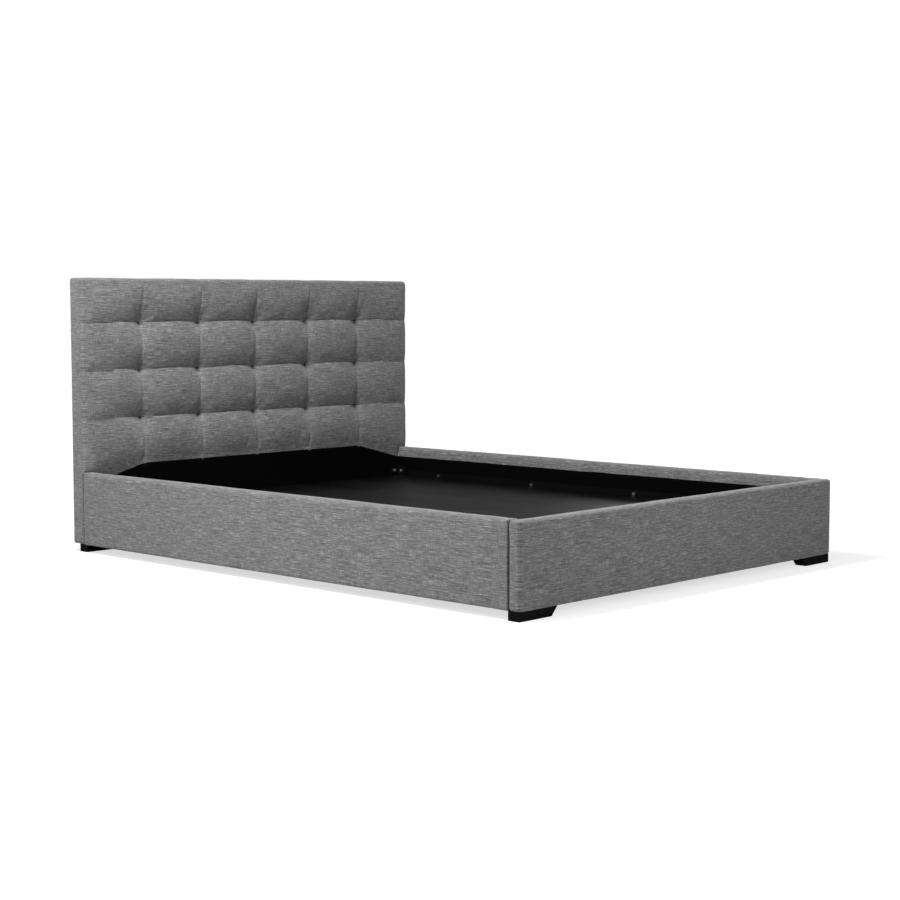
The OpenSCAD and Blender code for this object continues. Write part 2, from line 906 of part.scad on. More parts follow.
beam_hanger(FOOT);  // beam_hanger_foot
beam_hanger(HEAD);  // beam_hanger_head
beam_screws();
centre_leg(0);  // centre_leg_foot
centre_leg(1);  // centre_leg_middle
centre_leg(2);  // centre_leg_head
centre_leg_screws();
levelling_glide(0);  // levelling_glide_foot
levelling_glide(1);  // levelling_glide_middle
levelling_glide(2);  // levelling_glide_head
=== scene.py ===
"""Looks of the upholstered bed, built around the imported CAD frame. Metres, +Z up, +Y to the head."""
import math

import bpy
import numpy as np
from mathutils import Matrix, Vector


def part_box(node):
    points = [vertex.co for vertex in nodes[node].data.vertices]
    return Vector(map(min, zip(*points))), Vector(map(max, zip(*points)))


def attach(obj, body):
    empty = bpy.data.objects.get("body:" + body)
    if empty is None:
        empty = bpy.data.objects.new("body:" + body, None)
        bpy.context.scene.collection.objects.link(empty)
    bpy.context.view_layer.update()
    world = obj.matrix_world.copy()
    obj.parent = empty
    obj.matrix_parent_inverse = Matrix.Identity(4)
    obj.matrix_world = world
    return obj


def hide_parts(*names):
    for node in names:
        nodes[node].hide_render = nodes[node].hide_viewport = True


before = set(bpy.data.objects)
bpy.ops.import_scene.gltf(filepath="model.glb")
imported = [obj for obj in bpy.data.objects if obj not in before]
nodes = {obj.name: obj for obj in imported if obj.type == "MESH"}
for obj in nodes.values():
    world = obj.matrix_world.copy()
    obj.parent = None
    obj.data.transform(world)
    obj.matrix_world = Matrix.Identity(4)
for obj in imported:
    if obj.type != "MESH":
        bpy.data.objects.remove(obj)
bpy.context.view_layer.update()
BODY = "bed"

# ------------------------------------------------------------------ places, from the frame
HEAD_LO, HEAD_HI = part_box("headboard_cover")
FOOT_LO, FOOT_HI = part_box("foot_rail_cover")
RAIL_LO, RAIL_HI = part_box("side_rail_cover_left")
LINING_LO, LINING_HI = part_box("headboard_lining")
RAIL_LINING_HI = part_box("side_rail_lining_left")[1]
FOOT_LINING_LO, FOOT_LINING_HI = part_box("foot_rail_lining")
DECK_LO, DECK_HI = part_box("deck_cloth")
BACK_LO, BACK_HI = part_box("headboard_back_cover")
BUTTONS_LO, BUTTONS_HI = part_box("tuft_buttons")

MM = 0.001
TUFT_COLUMNS = 5
TUFT_ROWS = 3
BUTTON_R = 8 * MM
TUFT_X = np.linspace(BUTTONS_LO.x + BUTTON_R, BUTTONS_HI.x - BUTTON_R, TUFT_COLUMNS)
TUFT_Z = np.linspace(BUTTONS_LO.z + BUTTON_R, BUTTONS_HI.z - BUTTON_R, TUFT_ROWS)
FACE_Y = HEAD_LO.y
RAIL_INNER_X = RAIL_HI.x
LINING_TOP_Z = LINING_HI.z
LINING_SIDE_Z = RAIL_LINING_HI.z

# ------------------------------------------------------------------ small mesh tools


def smoothstep(t):
    t = np.clip(t, 0, 1)
    return t * t * (3 - 2 * t)


WOBBLE_WAVES = 5  # sine waves in each octave of the noise


def wobble(points, scale, seed, octaves=3):
    """Smooth noise from -1 to 1 at each point, as a sum of randomly turned sine waves."""
    rng = np.random.default_rng(seed)
    total = np.zeros(len(points))
    for octave in range(octaves):
        for _ in range(WOBBLE_WAVES):
            direction = rng.normal(size=3)
            direction /= np.linalg.norm(direction)
            phase = rng.uniform(0, 2 * math.pi)
            stretch = rng.uniform(0.7, 1.4)
            wave = points @ direction * (2 * math.pi * stretch * 2**octave / scale)
            total += np.sin(wave + phase) / 2**octave
    return total / WOBBLE_WAVES


def graded(knots, parts, power=1.6):
    """Coordinates through the knots, closer together near each knot."""
    out = [knots[0]]
    for a, b in zip(knots[:-1], knots[1:]):
        half = (b - a) / 2
        t = (np.arange(1, parts + 1) / parts) ** power
        out += list(a + half * t)
        out += list(b - half * t[::-1][1:])
        out.append(b)
    return np.array(out)


def edged(lo, hi, radius, step, arc_parts=4):
    """Coordinates from lo to hi, with arc_parts of them across each round edge."""
    arc = np.linspace(0, radius, arc_parts + 1)
    inner = np.linspace(lo + radius, hi - radius, max(2, round((hi - lo - 2 * radius) / step) + 1))
    return np.concatenate([lo + arc, inner[1:-1], hi - arc[::-1]])


def grid_quads(rows, columns, first=0):
    """Quads between the points of a grid whose numbers start at first."""
    index = first + np.arange(rows * columns).reshape(rows, columns)
    corners = [index[:-1, :-1], index[1:, :-1], index[1:, 1:], index[:-1, 1:]]
    return np.stack(corners, -1).reshape(-1, 4)


def box_grid(xs, ys, zs, along):
    """Points, quads and weave coordinates of a box's six faces, on the given grid lines.
    along is the axis, 0 or 1, that the cloth's weft runs along."""
    lo = np.array([xs[0], ys[0], zs[0]])
    hi = np.array([xs[-1], ys[-1], zs[-1]])
    lines = [xs, ys, zs]
    points, quads, uvs = [], [], []
    start = 0
    for axis in range(3):
        a, b = [k for k in range(3) if k != axis]
        for end in (lo, hi):
            ga, gb = np.meshgrid(lines[a], lines[b], indexing="ij")
            p = np.zeros(ga.shape + (3,))
            p[..., a], p[..., b], p[..., axis] = ga, gb, end[axis]
            quad = grid_quads(*ga.shape, first=start)
            outward = (end[axis] > lo[axis]) == (axis != 1)
            quads.append(quad if outward else quad[:, ::-1])
            p = p.reshape(-1, 3)
            across = p[:, along]
            up = p[:, 2] if axis != 2 else end[2] + p[:, 1 - along] - lo[1 - along]
            if axis == along:
                across = p[:, along] + p[:, 1 - along] - lo[1 - along]
            uvs.append(np.stack([across, up], -1))
            points.append(p)
            start += ga.size
    points, quads, uvs = np.concatenate(points), np.concatenate(quads), np.concatenate(uvs)
    _, first, place = np.unique(np.round(points, 7), axis=0, return_index=True, return_inverse=True)
    return points[first], place.reshape(-1)[quads], uvs[quads]


def rounded(points, lo, hi, radius):
    """The box's points moved onto its round edges, and the outward direction at each."""
    lo, hi = np.array(lo, float), np.array(hi, float)
    inner = np.clip(points, lo + radius, hi - radius)
    out = points - inner
    out /= np.linalg.norm(out, axis=1)[:, None]
    return inner + radius * out, out


def new_object(name, data):
    obj = bpy.data.objects.new(name, data)
    bpy.context.scene.collection.objects.link(obj)
    return obj


def make_mesh(name, points, faces, uvs=None, smooth=True):
    """A new object from points, the points of each face, and the weave coordinates at each of those."""
    mesh = bpy.data.meshes.new(name)
    mesh.from_pydata(points.tolist(), [], [tuple(face) for face in faces])
    if uvs is not None:
        layer = mesh.uv_layers.new(name="weave")
        layer.data.foreach_set("uv", np.asarray(uvs, np.float32).reshape(-1))
    mesh.polygons.foreach_set("use_smooth", [smooth] * len(mesh.polygons))
    mesh.validate()
    mesh.update()
    return new_object(name, mesh)


def sheet_mesh(name, points, uvs, thick):
    """A closed cloth of that thickness from a grid of points; the thickness goes behind the grid."""
    quads = grid_quads(*points.shape[:2])
    obj = make_mesh(name, points.reshape(-1, 3), quads, uvs.reshape(-1, 2)[quads])
    solid = obj.modifiers.new("thickness", "SOLIDIFY")
    solid.thickness = thick
    solid.offset = -1
    return obj


# ------------------------------------------------------------------ materials


# Numbers of the sockets that Blender's mix node uses for colours
FACTOR = 0
COLOUR_A = 6
COLOUR_B = 7
MIXED = 2


class Nodes:
    """A short way to write a node material."""

    def __init__(self, name):
        self.material = bpy.data.materials.new(name)
        self.material.use_nodes = True
        self.tree = self.material.node_tree
        self.shader = self.tree.nodes["Principled BSDF"]

    def add(self, kind, **values):
        node = self.tree.nodes.new(kind)
        for key, value in values.items():
            if hasattr(node, key):
                setattr(node, key, value)
            else:
                node.inputs[key.replace("_", " ")].default_value = value
        return node

    def set(self, socket, value):
        self.shader.inputs[socket].default_value = value

    def link(self, a, out, b, into):
        self.tree.links.new(a.outputs[out], b.inputs[into])

    def noise(self, source, out, scale, size, detail=3, rough=0.6, distort=0.0):
        """Noise over coordinates stretched by scale, with features about 1 / size long."""
        mapping = self.add("ShaderNodeMapping")
        mapping.inputs["Scale"].default_value = scale
        self.link(source, out, mapping, "Vector")
        node = self.add("ShaderNodeTexNoise")
        node.inputs["Scale"].default_value = size
        node.inputs["Detail"].default_value = detail
        node.inputs["Roughness"].default_value = rough
        node.inputs["Distortion"].default_value = distort
        self.link(mapping, "Vector", node, "Vector")
        return node

    def ramp(self, source, out, stops):
        node = self.add("ShaderNodeValToRGB")
        elements = node.color_ramp.elements
        while len(elements) < len(stops):
            elements.new(0.5)
        for element, (at, colour) in zip(elements, stops):
            element.position = at
            element.color = (*colour, 1)
        self.link(source, out, node, "Fac")
        return node

    def feed(self, value, node, into):
        """Gives a node's input a (node, socket) pair, a colour or a number."""
        if isinstance(value, tuple) and hasattr(value[0], "outputs"):
            self.link(*value, node, into)
        elif isinstance(value, tuple):
            node.inputs[into].default_value = (*value, 1)
        else:
            node.inputs[into].default_value = value

    def mix(self, kind, a, b, factor):
        """Blends two colours."""
        node = self.add("ShaderNodeMix", data_type="RGBA", blend_type=kind)
        for value, into in ((a, COLOUR_A), (b, COLOUR_B), (factor, FACTOR)):
            self.feed(value, node, into)
        return node

    def math(self, operation, a, b):
        node = self.add("ShaderNodeMath", operation=operation)
        self.feed(a, node, 0)
        self.feed(b, node, 1)
        return node

    def bump(self, height, out, strength, distance, under=None):
        node = self.add("ShaderNodeBump")
        node.inputs["Strength"].default_value = strength
        node.inputs["Distance"].default_value = distance
        self.link(height, out, node, "Height")
        if under is not None:
            self.link(under, "Normal", node, "Normal")
        return node


def grey(value):
    return (value, value, value)


THREAD = 1.3 * MM              # from one thread of the grey cloth to the next
WAVE_TURNS = 2 * math.pi / 20  # Blender's wave texture turns 20 radians a unit at scale 1
# Features of the grey cloth, as how many there are in a metre along the weft and across it
LONG_SLUBS = (10, 460, 1)
FINE_LINES = (9, 640, 1)
SHORT_SLUBS = (36, 700, 1)
WARP_SLUBS = (520, 36, 1)
CLOUDS = (14, 22, 1)
FIBRES = (700, 1100, 1)


def thread_wave(m, uv, direction):
    """Ridges of the threads that lie side by side in one direction."""
    wave = m.add("ShaderNodeTexWave", wave_type="BANDS", bands_direction=direction)
    wave.inputs["Scale"].default_value = WAVE_TURNS / THREAD
    wave.inputs["Distortion"].default_value = 1.2
    wave.inputs["Detail Scale"].default_value = 3
    m.link(uv, "UV", wave, "Vector")
    return wave


def linen(name, dark, light):
    """Grey melange cloth with slubs along its weft, over the weave coordinates, in metres."""
    m = Nodes(name)
    uv = m.add("ShaderNodeUVMap", uv_map="weave")
    long_slubs = m.noise(uv, "UV", LONG_SLUBS, 1.0)
    short_slubs = m.noise(uv, "UV", SHORT_SLUBS, 1.0)
    warp_slubs = m.noise(uv, "UV", WARP_SLUBS, 1.0)
    lines = m.noise(uv, "UV", FINE_LINES, 1.0, detail=2, rough=0.5)
    clouds = m.noise(uv, "UV", CLOUDS, 1.0, detail=2)
    fibres = m.noise(uv, "UV", FIBRES, 1.0, detail=2)
    threads = m.math("MULTIPLY", (thread_wave(m, uv, "Y"), "Fac"), (thread_wave(m, uv, "X"), "Fac"))

    # Each layer is a source, the tones that it multiplies by, and how strongly it does so
    half = grey((dark + light) / 2)
    layers = (
        (short_slubs, "Fac", [(0.36, grey(0.4)), (0.5, grey(0.95)), (0.64, grey(1.8))], 0.85),
        (warp_slubs, "Fac", [(0.36, grey(0.62)), (0.64, grey(1.36))], 0.7),
        (clouds, "Fac", [(0.3, grey(0.93)), (0.7, grey(1.07))], 0.8),
        (lines, "Fac", [(0.3, grey(0.45)), (0.4, grey(1)), (0.6, grey(1)), (0.7, grey(2))], 0.75),
        (fibres, "Fac", [(0.3, grey(0.75)), (0.7, grey(1.25))], 0.5),
        # the threads layer darkens the gaps between the threads: painted shade in the weave's hollows
        (threads, "Value", [(0.0, grey(0.72)), (0.45, grey(1.05))], 0.7),
    )
    tone = m.ramp(long_slubs, "Fac", [(0.37, grey(dark)), (0.5, half), (0.63, grey(light))])
    colour = (tone, "Color")
    for source, out, stops, share in layers:
        colour = (m.mix("MULTIPLY", colour, (m.ramp(source, out, stops), "Color"), share), MIXED)
    m.link(*colour, m.shader, "Base Color")

    roughness = m.ramp(short_slubs, "Fac", [(0.3, grey(0.78)), (0.7, grey(0.95))])
    m.link(roughness, "Color", m.shader, "Roughness")
    weave = m.bump(threads, "Value", 0.55, 0.35 * MM)
    slub = m.bump(short_slubs, "Fac", 0.35, 0.8 * MM, weave)
    lumps = m.bump(long_slubs, "Fac", 0.25, 1.0 * MM, slub)
    m.link(lumps, "Normal", m.shader, "Normal")
    m.set("Specular IOR Level", 0.25)
    m.set("Sheen Weight", 0.5)
    m.set("Sheen Roughness", 0.45)
    m.set("Sheen Tint", (0.9, 0.9, 0.9, 1))
    return m.material


def black_cloth(name, tone, gloss, specular, spot=2.0 * MM):
    """Thin black bonded cloth: fine dimples, faint lint and low ripples."""
    m = Nodes(name)
    place = m.add("ShaderNodeTexCoord")
    dimples = m.add("ShaderNodeTexVoronoi", feature="F1")
    dimples.inputs["Scale"].default_value = 1 / spot
    m.link(place, "Object", dimples, "Vector")
    lint = m.noise(place, "Object", (1, 1, 1), 260, detail=5)
    ripple = m.noise(place, "Object", (1, 0.45, 1), 5, detail=2, distort=0.4)
    stops = [(0.35, grey(tone * 0.6)), (0.62, grey(tone * 1.2)), (0.8, grey(tone * 2.4))]
    colour = m.ramp(lint, "Fac", stops)
    m.link(colour, "Color", m.shader, "Base Color")
    rough = m.ramp(ripple, "Fac", [(0.3, grey(gloss - 0.07)), (0.7, grey(gloss + 0.07))])
    m.link(rough, "Color", m.shader, "Roughness")
    fine = m.bump(dimples, "Distance", 0.25, 0.12 * MM)
    broad = m.bump(ripple, "Fac", 0.12, 6 * MM, fine)
    m.link(broad, "Normal", m.shader, "Normal")
    m.set("Specular IOR Level", specular)
    return m.material


# Growth rings and pores in a metre of timber, across its grain and along it
RINGS_ACROSS = 26
RINGS_ALONG = 1.6
PORES_ACROSS = 420
PORES_ALONG = 12


def wood(name, dark, light, grain_axis, roughness=0.65):
    """Planed timber with its grain along one axis."""
    m = Nodes(name)
    place = m.add("ShaderNodeTexCoord")
    scale = [RINGS_ACROSS] * 3
    scale[grain_axis] = RINGS_ALONG
    rings = m.noise(place, "Object", tuple(scale), 1.0, detail=6, rough=0.65, distort=0.6)
    scale = [PORES_ACROSS] * 3
    scale[grain_axis] = PORES_ALONG
    pores = m.noise(place, "Object", tuple(scale), 1.0, detail=3)
    tone = m.ramp(rings, "Fac", [(0.3, dark), (0.5, light), (0.72, dark)])
    fleck = m.ramp(pores, "Fac", [(0.32, grey(0.6)), (0.5, grey(1.0))])
    colour = m.mix("MULTIPLY", (tone, "Color"), (fleck, "Color"), 0.6)
    m.link(colour, MIXED, m.shader, "Base Color")
    rough = m.ramp(rings, "Fac", [(0.3, grey(roughness)), (0.7, grey(roughness + 0.15))])
    m.link(rough, "Color", m.shader, "Roughness")
    bump = m.bump(pores, "Fac", 0.3, 0.3 * MM)
    m.link(bump, "Normal", m.shader, "Normal")
    return m.material


def lacquer(name, tone, roughness, worn=1.6):
    """Black satin lacquer over wood, or powder coat over steel, with rubbed edges."""
    m = Nodes(name)
    place = m.add("ShaderNodeTexCoord")
    peel = m.noise(place, "Object", (1, 1, 1), 900, detail=2)
    smears = m.noise(place, "Object", (1, 1, 1), 14, detail=4)
    geometry = m.add("ShaderNodeNewGeometry")
    edges = m.ramp(geometry, "Pointiness", [(0.5, grey(0)), (0.56, grey(1))])
    tone_map = m.ramp(smears, "Fac", [(0.35, grey(tone * 0.8)), (0.7, grey(tone * 1.3))])
    colour = m.mix("MIX", (tone_map, "Color"), grey(tone * worn), (edges, "Color"))
    m.link(colour, MIXED, m.shader, "Base Color")
    rough = m.ramp(smears, "Fac", [(0.3, grey(roughness - 0.08)), (0.7, grey(roughness + 0.1))])
    m.link(rough, "Color", m.shader, "Roughness")
    bump = m.bump(peel, "Fac", 0.2, 0.08 * MM)
    m.link(bump, "Normal", m.shader, "Normal")
    m.set("Specular IOR Level", 0.07)
    return m.material


def steel(name, tone, roughness):
    """Zinc-plated steel with a brushed, slightly clouded surface."""
    m = Nodes(name)
    place = m.add("ShaderNodeTexCoord")
    brush = m.noise(place, "Object", (60, 60, 2400), 1.0, detail=3)
    cloud = m.noise(place, "Object", (1, 1, 1), 160, detail=3)
    colour = m.ramp(cloud, "Fac", [(0.3, grey(tone * 0.8)), (0.7, grey(tone))])
    m.link(colour, "Color", m.shader, "Base Color")
    rough = m.ramp(brush, "Fac", [(0.3, grey(roughness - 0.08)), (0.7, grey(roughness + 0.12))])
    m.link(rough, "Color", m.shader, "Roughness")
    bump = m.bump(brush, "Fac", 0.15, 0.05 * MM)
    m.link(bump, "Normal", m.shader, "Normal")
    m.set("Metallic", 1.0)
    return m.material


def foam(name):
    """Cream upholstery foam with fine open cells, their pits darkened with painted shade."""
    m = Nodes(name)
    place = m.add("ShaderNodeTexCoord")
    cells = m.add("ShaderNodeTexVoronoi", feature="F1")
    cells.inputs["Scale"].default_value = 900
    m.link(place, "Object", cells, "Vector")
    # darker at each cell's middle: painted shade in the open cells' pits
    colour = m.ramp(cells, "Distance", [(0.0, (0.42, 0.37, 0.2)), (0.6, (0.8, 0.74, 0.5))])
    m.link(colour, "Color", m.shader, "Base Color")
    bump = m.bump(cells, "Distance", 0.5, 0.5 * MM)
    m.link(bump, "Normal", m.shader, "Normal")
    m.set("Roughness", 0.95)
    return m.material


LINEN = linen("grey_linen", 0.112, 0.235)
BLACK_LINING = black_cloth("black_lining", 0.0015, 0.85, 0.03)
DECK_CLOTH = black_cloth("deck_cloth", 0.0015, 0.38, 0.22, 3 * MM)
PINE_DARK = (0.36, 0.22, 0.11)
PINE_LIGHT = (0.6, 0.42, 0.24)
TIMBER_X = wood("timber_across", PINE_DARK, PINE_LIGHT, 0)
TIMBER_Y = wood("timber_along", PINE_DARK, PINE_LIGHT, 1)
TIMBER_Z = wood("timber_upright", PINE_DARK, PINE_LIGHT, 2)
BOARD = wood("board", (0.3, 0.2, 0.12), (0.48, 0.34, 0.2), 0, 0.75)
FOOT_LACQUER = lacquer("foot_lacquer", 0.002, 0.45)
POWDER_COAT = lacquer("powder_coat", 0.0015, 0.6)
LEG_PLASTIC = lacquer("leg_plastic", 0.006, 0.5, 1.2)
ZINC = steel("zinc", 0.85, 0.28)
FOAM = foam("foam")


def dress(obj, material):
    obj.data.materials.clear()
    obj.data.materials.append(material)


def finish_piece(obj, material):
    """Gives a visual piece its material and slot, and lets it ride the bed."""
    dress(obj, material)
    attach(obj, BODY)


# ------------------------------------------------------------------ headboard cover

CREST = 13 * MM           # how far a cell's crown stands in front of the CAD face
UPRIGHT_CREASE = 14 * MM  # depth of an upright crease halfway between two tufts
LEVEL_CREASE = 14 * MM    # depth of a level crease there
TUFT_PULL = 14 * MM       # further depth at a tuft
TUFT_BOTTOM = 6 * MM      # radius of the round bottom of that pull
TUFT_POCKET = 19 * MM     # depth that the tight pocket round a tuft adds
POCKET_REACH = 19 * MM
TUFT_EYE = 4 * MM         # depth of the narrow eye that a button sits in
TUFT_EYE_R = 9 * MM       # radius of that eye
TUFT_REACH = 42 * MM      # distance over which a tuft's pull fades
CREASE_SHARP = 9 * MM     # half width of a crease's sharp part
ARCH = 7 * MM             # rise of a row's crease between two tufts
LOW_BELLY = 4 * MM        # how far the lowest cells swell out above the lining
EDGE_FALL = 3 * MM        # how far the face falls back towards the headboard's edges
EDGE_REACH = 40 * MM
EDGE_FULL = 60 * MM       # depth of the face at which that fall would stop
HEAD_RADIUS = 13 * MM     # of the headboard's front and top edges
BACK_RADIUS = 8 * MM      # of its back edges
SIDE_TAPER = 4 * MM       # how much thinner the side padding is at the back than at the front
LOW_RADIUS = 1.5 * MM     # of its bottom edges, where the cover lies on the timber
UPRIGHT_SHARP = 0.06      # share of an upright crease that is its sharp line
LEVEL_SHARP = 0.4         # the same for a level crease
TOP_FADE = 0.8            # share of the upright creases that is gone at the top
LOW_FADE = 0.65           # and at the lining
FADE_RATE = 1.25          # how soon they fade on the way there
SIDE_FADE = 0.7           # share of the level creases that is gone at the sides
SIDE_FADE_RATE = 1.5
FLAT_CORNER_X = 0.62      # how far left of the middle the lowest level crease begins to fade
FLAT_CORNER_RUN = 0.12

EDGE_PULL = CREST - 1.4 * MM     # depth at which the cover meets the black lining
UNDER_LINING = CREST + 1.2 * MM  # depth at which the cover lies behind the black lining
PRESS_DEPTH = CREST + 1.5 * MM   # how deep the side rails' ends press into the face

# Pleats round a tuft: their share of the pull, how many there are, and how they turn from tuft to tuft
PLEATS = ((0.05, 7, 9), (0.04, 11, 5))

ROLL_TIGHT = 0.12      # share of the roll back to the lining's edge that is tight
ROLL_TIGHT_REACH = 8 * MM
ROLL_REACH = 165 * MM
ROLL_POWER = 1.5
ROLL_FLAT = 0.15       # share of the creases' depth that is gone at the full roll
FLAT_ABOVE = 22 * MM   # creases fade out within this height above the lining
FLAT_SHARE = 0.85      # by this share
BELLY_RISE = 85 * MM   # height of the lowest cells' fullest part above the lining
BELLY_FALL = 80 * MM   # height over which that fullness goes again
UNDER_RUN = 3 * MM     # over which the cover goes under the lining
ARCH_REACH = 45 * MM   # height over which a crease's arch carries its neighbourhood along
ARCH_LEAN = 1.25       # moves an arch's top towards the right tuft
SIDE_NIP = 3.2 * MM    # how far a row of tufts draws in the headboard's sides
SIDE_NIP_REACH = 20 * MM
TOP_NIP = 2.2 * MM     # how far a column draws in its top
TOP_NIP_REACH = 22 * MM
NIP_FADE = 0.7         # share of that draw that is gone at the back
EDGE_CROWN = 1.5 * MM  # how full the sides and the top are between their edges

# Soft unevenness of the cover: wave length, seed and height
SOFT_UNEVEN = ((0.16, 3, 0.9 * MM), (0.045, 4, 0.25 * MM))

SETTLE_FRAMES = 14
SETTLE_STEP = 8 * MM  # grid of the simulated face
SETTLE_CAP = 7 * MM   # how far the simulation may move a point
PRESSURE = 4
CREASE_HOLD = 0.9     # how firmly the simulation holds the creases
CLOTH_SLACK = 0.008   # share by which the simulated cloth is larger than its padding


def lining_edge(x):
    """Height of the black lining's top edge at x."""
    slope = (LINING_TOP_Z - LINING_SIDE_Z) / (RAIL_INNER_X - TUFT_X[0])
    return LINING_TOP_Z + slope * np.maximum(0, np.abs(x) - TUFT_X[-1])


def crease_profile(distance, half_cell, sharp_share):
    """1 at a crease, falling to 0 at the middle of a cell."""
    sharp = np.exp(-distance / CREASE_SHARP)
    broad = np.clip(1 - distance / half_cell, 0, 1) ** 2
    return sharp_share * sharp + (1 - sharp_share) * broad


def nearest_gap(values, places):
    return np.abs(values[:, None] - places[None, :]).min(axis=1)


def face_depth(x, z):
    """Depth of the headboard's padded face behind its crowns, before the creases arch."""
    half_x = (TUFT_X[1] - TUFT_X[0]) / 2
    half_z = (TUFT_Z[1] - TUFT_Z[0]) / 2
    out_x = np.clip((np.abs(x) - TUFT_X[-1]) / (HEAD_HI.x - TUFT_X[-1]), 0, 1)
    out_z = np.clip((z - TUFT_Z[-1]) / (HEAD_HI.z - TUFT_Z[-1]), 0, 1)
    out_low = np.clip((TUFT_Z[0] - z) / (TUFT_Z[0] - LINING_TOP_Z), 0, 1)
    fade = 1 - TOP_FADE * smoothstep(out_z * FADE_RATE)
    fade = fade * (1 - LOW_FADE * smoothstep(out_low * FADE_RATE))
    side_fade = 1 - SIDE_FADE * smoothstep(out_x * SIDE_FADE_RATE)
    upright = UPRIGHT_CREASE * fade * crease_profile(nearest_gap(x, TUFT_X), half_x, UPRIGHT_SHARP)
    level = LEVEL_CREASE * side_fade * crease_profile(nearest_gap(z, TUFT_Z), half_z, LEVEL_SHARP)
    low_left = smoothstep((-x - FLAT_CORNER_X) / FLAT_CORNER_RUN) * (np.abs(z - TUFT_Z[0]) < half_z)
    level = level * (1 - SIDE_FADE * low_left)
    depth = upright + level - upright * level / LEVEL_CREASE
    for tuft_x in TUFT_X:
        for tuft_z in TUFT_Z:
            away = np.hypot(x - tuft_x, z - tuft_z)
            turn = np.arctan2(z - tuft_z, x - tuft_x)
            pleats = 1.0
            for (share, count, shift), place in zip(PLEATS, (tuft_x, tuft_z)):
                pleats = pleats + share * np.sin(count * turn + shift * place)
            rounded_away = np.sqrt(away**2 + TUFT_BOTTOM**2)
            near = rounded_away / TUFT_REACH * pleats
            pocket = np.exp(-rounded_away / POCKET_REACH)
            eye = np.exp(-((away / TUFT_EYE_R) ** 2))
            depth = depth + TUFT_PULL * np.exp(-near) + TUFT_POCKET * pocket + TUFT_EYE * eye
    edge_gap = np.minimum(HEAD_HI.x - np.abs(x), HEAD_HI.z - z)
    depth = depth + EDGE_FALL * (1 - smoothstep(edge_gap / EDGE_REACH)) * (1 - depth / EDGE_FULL)
    # The face rolls back to the lining's edge and lies under the lining below it
    above = np.maximum(z - lining_edge(x), 0)
    slack = np.clip(1 - above / ROLL_REACH, 0, 1) ** ROLL_POWER
    roll = ROLL_TIGHT * np.exp(-above / ROLL_TIGHT_REACH) + (1 - ROLL_TIGHT) * slack
    depth = depth * (1 - FLAT_SHARE * np.exp(-above / FLAT_ABOVE))
    depth = depth + (EDGE_PULL - ROLL_FLAT * depth) * roll
    belly = smoothstep(above / BELLY_RISE) * (1 - smoothstep((above - BELLY_RISE) / BELLY_FALL))
    depth = depth - LOW_BELLY * belly
    under = smoothstep((lining_edge(x) - z) / UNDER_RUN) * (np.abs(x) < -RAIL_INNER_X + 1 * MM)
    return depth * (1 - under) + UNDER_LINING * under


def arch(x, z):
    """How far a point rises as the creases between tufts arch up."""
    pitch_x = TUFT_X[1] - TUFT_X[0]
    share = ((x - TUFT_X[0]) / pitch_x) % 1.0
    inside = (np.abs(x) < TUFT_X[-1] + pitch_x * 0.5).astype(float)
    rise = np.sin(math.pi * share**ARCH_LEAN) * inside
    window = np.zeros_like(z)
    # The middle row arches fully, and the others by three quarters
    for row, tuft_z in enumerate(TUFT_Z):
        window = window + (0.75 + 0.25 * (row % 2)) * np.exp(-(((z - tuft_z) / ARCH_REACH) ** 2))
    return ARCH * rise * window


def front_y(x, z):
    return FACE_Y - CREST + face_depth(x, z)


def settled_face():
    """How far the cloth simulation moves each point of an even grid over the face."""
    step = SETTLE_STEP
    margin = HEAD_RADIUS
    xs = np.arange(HEAD_LO.x + margin, HEAD_HI.x - margin + step / 2, step)
    zs = np.arange(LINING_SIDE_Z, HEAD_HI.z - margin + step / 2, step)
    x, z = np.meshgrid(xs, zs, indexing="ij")
    flat_x, flat_z = x.ravel(), z.ravel()
    y = front_y(flat_x, flat_z)
    before = np.stack([flat_x, y, flat_z + arch(flat_x, flat_z)], -1)
    moved = np.zeros_like(before)
    cloth = make_mesh("settling_face", before, grid_quads(*x.shape))
    tuft = np.full(x.size, 1.0)
    for tuft_x in TUFT_X:
        for tuft_z in TUFT_Z:
            tuft = np.minimum(tuft, np.hypot(flat_x - tuft_x, flat_z - tuft_z))
    # Creases hold between the outer tufts and a little past them; the rest of their lines holds less
    between_rows = (flat_z > TUFT_Z[0] - 40 * MM) & (flat_z < TUFT_Z[-1] + 40 * MM)
    between_columns = np.abs(flat_x) < TUFT_X[-1] + 60 * MM
    upright = np.where(between_rows, nearest_gap(flat_x, TUFT_X), 1.0)
    level = np.where(between_columns, nearest_gap(flat_z, TUFT_Z), 1.0)
    crease = np.minimum(upright, level)
    border = np.minimum(HEAD_HI.x - margin - np.abs(flat_x), HEAD_HI.z - margin - flat_z)
    border = np.minimum(border, flat_z - lining_edge(flat_x) - step)
    outer = np.minimum(nearest_gap(flat_x, TUFT_X), nearest_gap(flat_z, TUFT_Z))
    weight = np.where(outer < 0.7 * step, 0.5 * CREASE_HOLD, 0.0)
    weight = np.where(crease < 0.7 * step, CREASE_HOLD, weight)
    weight = np.where((tuft < 1.5 * step) | (border < step), 1.0, weight)
    moved = run_cloth(cloth, before, weight)
    return xs, zs, moved.reshape(x.shape + (3,))


